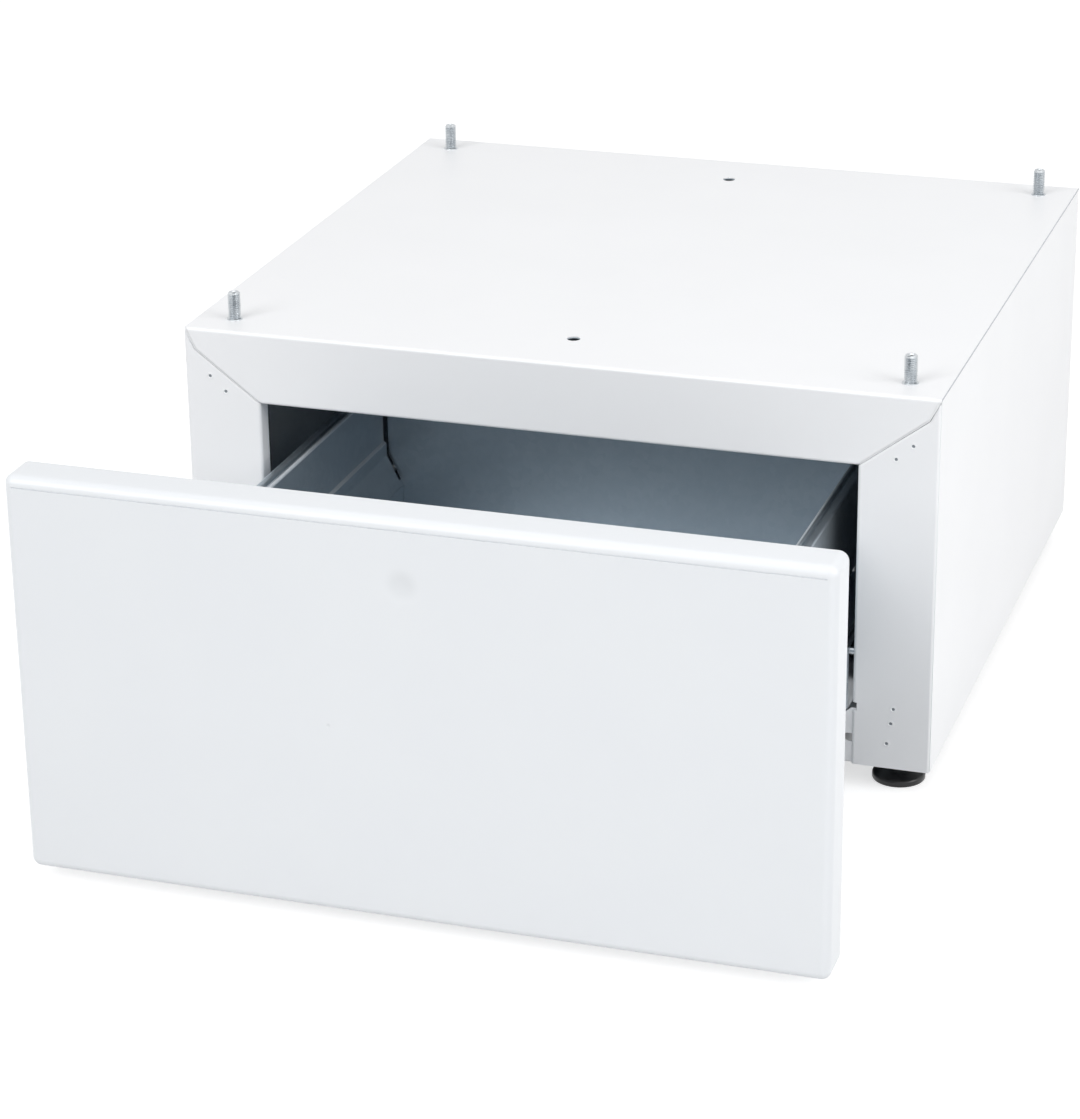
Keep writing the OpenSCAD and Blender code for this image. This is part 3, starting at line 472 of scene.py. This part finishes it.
pad_black = moulded_black("moulded_polyamide")
nut_plating = plated_steel("zinc_plating_on_nuts", 0.34)
lock_nuts = bmesh.new()
weld_nuts = bmesh.new()
for corner in corners:
    low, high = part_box(f"pad_{corner}")
    axis = ((low.x + high.x) / 2, (low.y + high.y) / 2)
    pad_radius = (high.x - low.x) / 2
    pad_top = high.z
    grooves = [(r * MM + from_middle * MM, up * MM)
               for r in GROOVE_RADII for from_middle, up in GROOVE_SECTION]
    shoulder = [(pad_radius - PAD_SHOULDER + PAD_SHOULDER * math.cos(math.radians(angle)),
                 SHOULDER_HEIGHT + PAD_SHOULDER * math.sin(math.radians(angle)))
                for angle in range(0, 80, 10)]
    pad = bmesh.new()
    turned(pad, [(0, 0), *reversed(grooves), (pad_radius - 1.2 * MM, 0),
                 (pad_radius - 0.4 * MM, 0.3 * MM), (pad_radius, 1 * MM), *shoulder,
                 (HUB_RADIUS + 4 * MM, 7.2 * MM), (HUB_RADIUS + 1.2 * MM, 8.3 * MM),
                 (HUB_RADIUS, 9.4 * MM), (HUB_RADIUS - 0.5 * MM, pad_top),
                 (SPINDLE_RADIUS + 0.5 * MM, pad_top), (SPINDLE_RADIUS + 0.1 * MM, pad_top - 0.5 * MM),
                 (SPINDLE_RADIUS + 0.1 * MM, pad_top - SOCKET_DEPTH), (0, pad_top - SOCKET_DEPTH)],
           axis, 64)
    bmesh.ops.recalc_face_normals(pad, faces=pad.faces)
    piece(f"foot_pad_{corner}", pad, pad_black, f"foot_{corner}", "black_plastic", f"pad_{corner}")

    low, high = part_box(f"spindle_{corner}")
    hex_low = pad_top + 0.3 * MM
    spindle = bmesh.new()
    threaded_rod(spindle, axis, low.z, high.z, SPINDLE_RADIUS, SPINDLE_ROOT)
    hex_nut(spindle, axis, hex_low, hex_low + SPINDLE_HEX_HEIGHT, SPINDLE_HEX_FLATS,
            SPINDLE_RADIUS - 0.5 * MM)
    piece(f"threaded_spindle_{corner}", spindle, bright_plating, f"spindle_{corner}", "plated_steel",
          f"spindle_{corner}")
    for nuts, node in ((lock_nuts, "lock_nuts"), (weld_nuts, "weld_nuts")):
        low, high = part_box(node)
        hex_nut(nuts, axis, low.z, high.z, NUT_FLATS, SPINDLE_RADIUS + 0.06 * MM)
piece("chamfered_lock_nuts", lock_nuts, nut_plating, "cabinet", "plated_steel", "lock_nuts")
piece("chamfered_weld_nuts", weld_nuts, inner_zinc, "cabinet", "zinc_sheet", "weld_nuts")

# ---------------------------------------------------------------- slides
# Each slide is three roll-formed steel channels that run on two rows of hardened balls in
# thin steel cages, screwed to its bracket and to the drawer's rail. The channels are bright
# zinc with fine lines along the rolling direction.
CHANNEL_LIGHT = "#c4c9cd"
CHANNEL_DARK = "#9aa1a7"
# The lines run fifty times as long as they are wide
LINE_SPACING = 0.8 * MM
LINE_SHARE = 0.02
BALL_LIGHT = "#d6d7d8"
BALL_AMBER = "#c9c7c0"
GREASE_PATCH = 2 * MM


def rolled_channel(name):
    """Roll-formed and plated steel, streaked lengthwise by the rolls."""
    material, tree, shader = new_finish(name)
    place = add(tree, "ShaderNodeTexCoord").outputs["Object"]
    along = add(tree, "ShaderNodeMapping", {"Scale": (1, LINE_SHARE, 1)}, {"Vector": place})
    lines = add(tree, "ShaderNodeTexNoise", {"Scale": 1 / LINE_SPACING, "Detail": 3},
                {"Vector": along.outputs["Vector"]})
    steel = add(tree, "ShaderNodeMixRGB",
                {"Color1": hex_colour(CHANNEL_DARK), "Color2": hex_colour(CHANNEL_LIGHT)},
                {"Fac": lines.outputs["Fac"]})
    gloss = add(tree, "ShaderNodeMapRange", {"To Min": 0.22, "To Max": 0.42},
                {"Value": lines.outputs["Fac"]})
    bump = add(tree, "ShaderNodeBump", {"Strength": 0.25, "Distance": 0.02 * MM},
               {"Height": lines.outputs["Fac"]})
    tree.links.new(steel.outputs["Color"], shader.inputs["Base Color"])
    tree.links.new(gloss.outputs["Result"], shader.inputs["Roughness"])
    tree.links.new(bump.outputs["Normal"], shader.inputs["Normal"])
    shader.inputs["Metallic"].default_value = 1
    return material


def hardened_balls(name):
    """Polished bearing steel under a film of grease: a mirror with a faint amber cast."""
    material, tree, shader = new_finish(name)
    place = add(tree, "ShaderNodeTexCoord").outputs["Object"]
    film = add(tree, "ShaderNodeTexNoise", {"Scale": 1 / GREASE_PATCH, "Detail": 2}, {"Vector": place})
    steel = add(tree, "ShaderNodeMixRGB",
                {"Color1": hex_colour(BALL_AMBER), "Color2": hex_colour(BALL_LIGHT)},
                {"Fac": film.outputs["Fac"]})
    gloss = add(tree, "ShaderNodeMapRange", {"To Min": 0.06, "To Max": 0.2},
                {"Value": film.outputs["Fac"]})
    tree.links.new(steel.outputs["Color"], shader.inputs["Base Color"])
    tree.links.new(gloss.outputs["Result"], shader.inputs["Roughness"])
    shader.inputs["Metallic"].default_value = 1
    return material


wear(rolled_channel("rolled_channel"), *(f"slide_{member}_{side}" for side in sides
                                         for member in ("outer", "middle", "inner")))
cage_steel = rolled_channel("cage_strip")
ball_steel = hardened_balls("bearing_steel")
for row in ("outer", "inner"):
    for side in sides:
        wear(cage_steel, f"cage_{row}_{side}")
        wear(ball_steel, f"balls_{row}_{side}")
wear(bright_plating, "slide_screws", "runner_screws", "tie_screws", "front_screws", "back_screws")

# ---------------------------------------------------------------- drawer box
# The box is folded from thinner galvanised sheet with rolled rims. Its coat is more even
# than the inner frame's, because it was rolled smooth after galvanising. Along the tight
# bends of the rims and ledges, highlights are painted on as pale, less metallic zinc.
BOX_ZINC_LIGHT = "#b9c2c9"
BOX_ZINC_DARK = "#b0bac2"
# Pale colour painted along the bends, as highlights
BEND_HIGHLIGHT_PALE = "#dde3e8"
RIM_WIDTH = 12.5 * MM
WALL_HEIGHT = 50 * MM
RIM_BEND = 0.8 * MM
LEDGE_BEND = 1.2 * MM
HIGHLIGHT_CORE = 1.1 * MM
HIGHLIGHT_EDGE = 1.9 * MM


def zinc_with_painted_highlights(name):
    """Zinc smoothed by a light rolling, with highlights painted along the tight bends as pale,
    less metallic zinc."""
    material = zinc_sheet(name, BOX_ZINC_LIGHT, BOX_ZINC_DARK)
    tree = material.node_tree
    shader = tree.nodes["Principled BSDF"]
    zinc = shader.inputs["Base Color"].links[0].from_socket
    place = add(tree, "ShaderNodeTexCoord").outputs["Object"]
    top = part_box("box_side_right")[1]
    wall_face = top.x - RIM_WIDTH
    bends = ((wall_face + RIM_BEND, top.z - RIM_BEND), (wall_face - LEDGE_BEND, top.z - WALL_HEIGHT))
    # Painted highlights: near each bend the zinc turns pale and less metallic
    painted_highlight = add(tree, "ShaderNodeMapRange",
                {"From Min": HIGHLIGHT_CORE, "From Max": HIGHLIGHT_EDGE, "To Min": 0.85, "To Max": 0},
                {"Value": far_from(tree, place, bends)}, interpolation_type="SMOOTHSTEP")
    pale = add(tree, "ShaderNodeMixRGB", {"Color2": hex_colour(BEND_HIGHLIGHT_PALE)},
               {"Fac": painted_highlight.outputs["Result"], "Color1": zinc})
    metallic = add(tree, "ShaderNodeMapRange", {"To Min": ZINC_METALLIC, "To Max": 0.2},
                   {"Value": painted_highlight.outputs["Result"]})
    tree.links.new(pale.outputs["Color"], shader.inputs["Base Color"])
    tree.links.new(metallic.outputs["Result"], shader.inputs["Metallic"])
    return material


wear(zinc_with_painted_highlights("skin_passed_zinc_with_painted_highlights"), "box_front", "box_floor", "box_side_left", "box_side_right",
     "box_back", "runner_rail_left", "runner_rail_right", "front_cover", "front_stiffener")

# ---------------------------------------------------------------- drawer front
# The front is a pan drawn from 1.2 mm sheet steel, with big round edges and a rear flange,
# and enamelled white all over. Six screws from inside hold it to the box.
ENAMEL_WHITE = "#e7eaed"
ENAMEL_SHADE = "#e4e7eb"
ENAMEL_PEEL = 4 * MM
# Grey painted into the dents, as painted shade
DENT_SHADE_GREY = "#a9adb0"
DENT_SHADE_SHARE = 0.12
EDGE_ROUND = 7 * MM
REAR_FLANGE = 14 * MM
SKIN = 1.2 * MM
CREASE_DROP = 1 * MM
CREASE_WIDTH = 1.0 * MM
CREASE_DEPTH = 0.8 * MM
CREASE_SLOPE = 0.15 * MM
# A wide shallow dish near the top and a prick lower down, left of the middle, each as its
# place across, its height above the floor, its radius and its depth
PRESSED_DENTS = [(-4 * MM, 266.2 * MM, 14 * MM, 0.9 * MM), (-60.6 * MM, 154.9 * MM, 2 * MM, 0.4 * MM)]
DENT_MARGIN = 1.1
DENT_CUTS = 27


def white_enamel(name):
    """Sprayed enamel: whiter and glossier than the powder coat, with a long soft peel."""
    material, tree, shader = new_finish(name)
    place = add(tree, "ShaderNodeTexCoord").outputs["Object"]
    cloud = add(tree, "ShaderNodeTexNoise", {"Scale": 1 / CLOUD_SIZE, "Detail": 2}, {"Vector": place})
    white = add(tree, "ShaderNodeMixRGB",
                {"Color1": hex_colour(ENAMEL_WHITE), "Color2": hex_colour(ENAMEL_SHADE)},
                {"Fac": cloud.outputs["Fac"]})
    peel = add(tree, "ShaderNodeTexNoise", {"Scale": 1 / ENAMEL_PEEL, "Detail": 1}, {"Vector": place})
    bump = add(tree, "ShaderNodeBump", {"Strength": 0.2, "Distance": 0.02 * MM},
               {"Height": peel.outputs["Fac"]})
    gloss = add(tree, "ShaderNodeMapRange", {"To Min": 0.26, "To Max": 0.32},
                {"Value": cloud.outputs["Fac"]})
    # The dents are painted a little greyer towards their middles, as painted shade
    colour = white.outputs["Color"]
    for x, z, radius, depth in PRESSED_DENTS:
        flat = add(tree, "ShaderNodeMapping", {"Location": (-x, 0, -z), "Scale": (1, 0, 1)},
                   {"Vector": place})
        far = add(tree, "ShaderNodeVectorMath", links={0: flat.outputs["Vector"]}, operation="LENGTH")
        share = add(tree, "ShaderNodeMapRange", {"From Min": radius / 3, "From Max": radius,
                                                 "To Min": DENT_SHADE_SHARE, "To Max": 0},
                    {"Value": far.outputs["Value"]}, interpolation_type="SMOOTHSTEP")
        colour = add(tree, "ShaderNodeMixRGB", {"Color2": hex_colour(DENT_SHADE_GREY)},
                     {"Fac": share.outputs[0], "Color1": colour}).outputs["Color"]
    tree.links.new(colour, shader.inputs["Base Color"])
    tree.links.new(gloss.outputs["Result"], shader.inputs["Roughness"])
    tree.links.new(bump.outputs["Normal"], shader.inputs["Normal"])
    return material


def cut_through(mesh, point, across):
    """Adds the edges where a plane cuts a mesh."""
    bmesh.ops.bisect_plane(mesh, geom=mesh.verts[:] + mesh.edges[:] + mesh.faces[:],
                           plane_co=point, plane_no=across)


low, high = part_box("front_skin")
front = bmesh.new()
bmesh.ops.create_cube(front, size=1, matrix=Matrix.Translation((low + high) / 2)
                      @ Matrix.Diagonal((*(high - low), 1)))
rear = [face for face in front.faces if face.normal.y > 0.9]
bmesh.ops.inset_individual(front, faces=rear, thickness=REAR_FLANGE)
bmesh.ops.delete(front, geom=rear, context="FACES")
rounded = [edge for edge in front.edges if min(vert.co.y for vert in edge.verts) < low.y + 1e-5]
bmesh.ops.bevel(front, geom=rounded, offset=EDGE_ROUND, offset_type="OFFSET", affect="EDGES",
                segments=8, profile=0.5, material=-1)
# The press leaves a fine crease where the flat face meets the roll of the top edge
crease_top = high.z - EDGE_ROUND - CREASE_DROP
for height in (crease_top, crease_top - CREASE_WIDTH):
    cut_through(front, (0, 0, height), (0, 0, 1))
crease = [face for face in front.faces if face.normal.y < -0.999
          and crease_top - CREASE_WIDTH < face.calc_center_median().z < crease_top]
bmesh.ops.inset_individual(front, faces=crease, thickness=CREASE_SLOPE, depth=-CREASE_DEPTH)
# The dents: a square patch is cut out round each, gridded, and sunk along a smooth bowl
for x, z, radius, depth in PRESSED_DENTS:
    half = radius * DENT_MARGIN
    for cut_x in (x - half, x + half):
        cut_through(front, (cut_x, 0, z), (1, 0, 0))
    for cut_z in (z - half, z + half):
        cut_through(front, (x, 0, cut_z), (0, 0, 1))
    bottom = Vector((x, low.y, z))
    patch = min(front.faces, key=lambda face: (face.calc_center_median() - bottom).length)
    bmesh.ops.subdivide_edges(front, edges=patch.edges[:], cuts=DENT_CUTS, use_grid_fill=True)
    for vert in front.verts:
        away = (vert.co - bottom).length / radius
        if away < 1:
            vert.co.y += depth * (1 - away * away) ** 2
bmesh.ops.recalc_face_normals(front, faces=front.faces)
bmesh.ops.solidify(front, geom=front.faces[:], thickness=SKIN)
piece("enamelled_front", front, white_enamel("sprayed_enamel"), "drawer", "white_front_enamel",
      "front_skin")

# ---------------------------------------------------------------- bumpers
# Four small domes of clear silicone are stuck on the front's rear flange near its corners,
# and keep the enamel off the frame.
SILICONE_PALE = "#dfe2e4"
SILICONE_HAZE = 2 * MM
BUMPER_RADIUS = 5 * MM
BUMPER_STEPS = 32
# The section of a dome's side, as (radius in millimetres, share of its height)
DOME_SECTION = [(4.9, 0.5), (4.4, 0.8), (3.4, 0.95), (2, 1), (0, 1)]


def soft_bumper(name):
    """Clear soft silicone: pale, matt and slightly see-through."""
    material, tree, shader = new_finish(name)
    place = add(tree, "ShaderNodeTexCoord").outputs["Object"]
    haze = add(tree, "ShaderNodeTexNoise", {"Scale": 1 / SILICONE_HAZE, "Detail": 2}, {"Vector": place})
    gloss = add(tree, "ShaderNodeMapRange", {"To Min": 0.4, "To Max": 0.6},
                {"Value": haze.outputs["Fac"]})
    tree.links.new(gloss.outputs["Result"], shader.inputs["Roughness"])
    shader.inputs["Base Color"].default_value = hex_colour(SILICONE_PALE)
    shader.inputs["Transmission Weight"].default_value = 0.35
    return material


low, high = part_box("bumpers")
tall = high.y - low.y
bumpers = bmesh.new()
for x in (low.x + BUMPER_RADIUS, high.x - BUMPER_RADIUS):
    for z in (low.z + BUMPER_RADIUS, high.z - BUMPER_RADIUS):
        dome = bmesh.new()
        turned(dome, [(0, 0), (BUMPER_RADIUS - 0.3 * MM, 0), (BUMPER_RADIUS, 0.15 * MM),
                      *((r * MM, share * tall) for r, share in DOME_SECTION)], (0, 0), BUMPER_STEPS)
        bmesh.ops.rotate(dome, verts=dome.verts, matrix=Matrix.Rotation(math.radians(-90), 3, "X"))
        bmesh.ops.translate(dome, verts=dome.verts, vec=(x, low.y, z))
        join(bumpers, dome)
piece("domed_bumpers", bumpers, soft_bumper("soft_silicone"), "drawer", "clear_rubber", "bumpers")

# ---------------------------------------------------------------- studio
# The pedestal stands on a white floor. The key light is large and far off at the front left,
# and one on the ceiling and one on the right fill in. The floor fades to plain white for the
# camera alone.
FLOOR_GREY = "#cdcdcd"
FLOOR_HALF = 12
FLOOR_LIFT = 0.62
# The lift starts and is full this far inside the walls, so that the open underside stays dark
LIFT_FROM = 95 * MM
LIFT_TO = 55 * MM
SKY_LIGHT = 0.52


def seen_white(tree):
    """One for rays that show the studio to the camera, also in metal and glass."""
    path = add(tree, "ShaderNodeLightPath")
    mirrored = add(tree, "ShaderNodeMath", links={0: path.outputs["Is Glossy Ray"],
                                                  1: path.outputs["Is Transmission Ray"]},
                   operation="MAXIMUM")
    return add(tree, "ShaderNodeMath", links={0: path.outputs["Is Camera Ray"],
                                              1: mirrored.outputs[0]}, operation="MAXIMUM").outputs[0]


def studio_floor(name):
    """Matt paper, lifted to white for the camera all round the cabinet, but not under it."""
    material, tree, shader = new_finish(name)
    place = add(tree, "ShaderNodeTexCoord").outputs["Object"]
    low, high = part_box("side_panel_left")[0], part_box("side_panel_right")[1]
    middle = (low + high) / 2
    offset = add(tree, "ShaderNodeVectorMath", {1: (middle.x, middle.y, 0)}, {0: place},
                 operation="SUBTRACT")
    reach = add(tree, "ShaderNodeVectorMath", links={0: offset.outputs[0]}, operation="ABSOLUTE")
    axes = add(tree, "ShaderNodeSeparateXYZ", links={"Vector": reach.outputs[0]})
    past_x, past_y = [add(tree, "ShaderNodeMapRange",
                          {"From Min": half - LIFT_FROM, "From Max": half - LIFT_TO},
                          {"Value": axes.outputs[axis]}, interpolation_type="SMOOTHSTEP").outputs[0]
                      for axis, half in (("X", high.x - middle.x), ("Y", high.y - middle.y))]
    clear = add(tree, "ShaderNodeMath", links={0: past_x, 1: past_y}, operation="MAXIMUM")
    lift = add(tree, "ShaderNodeMath", links={0: seen_white(tree), 1: clear.outputs[0]},
               operation="MULTIPLY")
    strength = add(tree, "ShaderNodeMath", {1: FLOOR_LIFT}, {0: lift.outputs[0]},
                   operation="MULTIPLY")
    tree.links.new(strength.outputs[0], shader.inputs["Emission Strength"])
    shader.inputs["Emission Color"].default_value = (1, 1, 1, 1)
    shader.inputs["Base Color"].default_value = hex_colour(FLOOR_GREY)
    shader.inputs["Roughness"].default_value = 0.9
    return material


floor_mesh = bmesh.new()
bmesh.ops.create_grid(floor_mesh, x_segments=1, y_segments=1, size=FLOOR_HALF)
floor_data = bpy.data.meshes.new("floor")
floor_mesh.to_mesh(floor_data)
floor_mesh.free()
floor_data.materials.append(studio_floor("floor_white"))
floor = bpy.data.objects.new("floor", floor_data)
bpy.context.scene.collection.objects.link(floor)

world = bpy.data.worlds.new("studio")
bpy.context.scene.world = world
world.use_nodes = True
sky = world.node_tree
sky_strength = add(sky, "ShaderNodeMapRange", {"To Min": SKY_LIGHT, "To Max": 1.0},
                   {"Value": seen_white(sky)})
sky.links.new(sky_strength.outputs["Result"], sky.nodes["Background"].inputs["Strength"])
sky.nodes["Background"].inputs["Color"].default_value = (1, 1, 1, 1)


def softbox(name, place, aim, size, power):
    """A square area lamp that faces a point."""
    lamp = bpy.data.lights.new(name, "AREA")
    lamp.size = size
    lamp.energy = power
    made = bpy.data.objects.new(name, lamp)
    made.location = place
    made.rotation_euler = (Vector(aim) - Vector(place)).to_track_quat("-Z", "Y").to_euler()
    bpy.context.scene.collection.objects.link(made)


softbox("ceiling", place=(0.4, -0.8, 3.2), aim=(0, -0.1, 0.2), size=3.0, power=23)
softbox("front_left", place=(-3.1, -6.0, 3.7), aim=(0, -0.2, 0.2), size=4.2, power=226)
softbox("right_side", place=(3.1, -0.9, 1.7), aim=(0, 0, 0.2), size=2.4, power=52)

# The camera looks down from the front right through a long lens, as the photographer's did
CAMERA_LENS = 112.59
CAMERA_SENSOR = 36
CAMERA_PLACE = (0.7725, -2.4794, 1.1824)
CAMERA_TURNS = (67.602, 0.672, 18.108)
camera_data = bpy.data.cameras.new("camera")
camera_data.lens = CAMERA_LENS
camera_data.sensor_width = CAMERA_SENSOR
camera = bpy.data.objects.new("camera", camera_data)
camera.location = CAMERA_PLACE
camera.rotation_euler = [math.radians(turn) for turn in CAMERA_TURNS]
bpy.context.scene.collection.objects.link(camera)
bpy.context.scene.camera = camera
bpy.context.scene.view_settings.view_transform = "Standard"
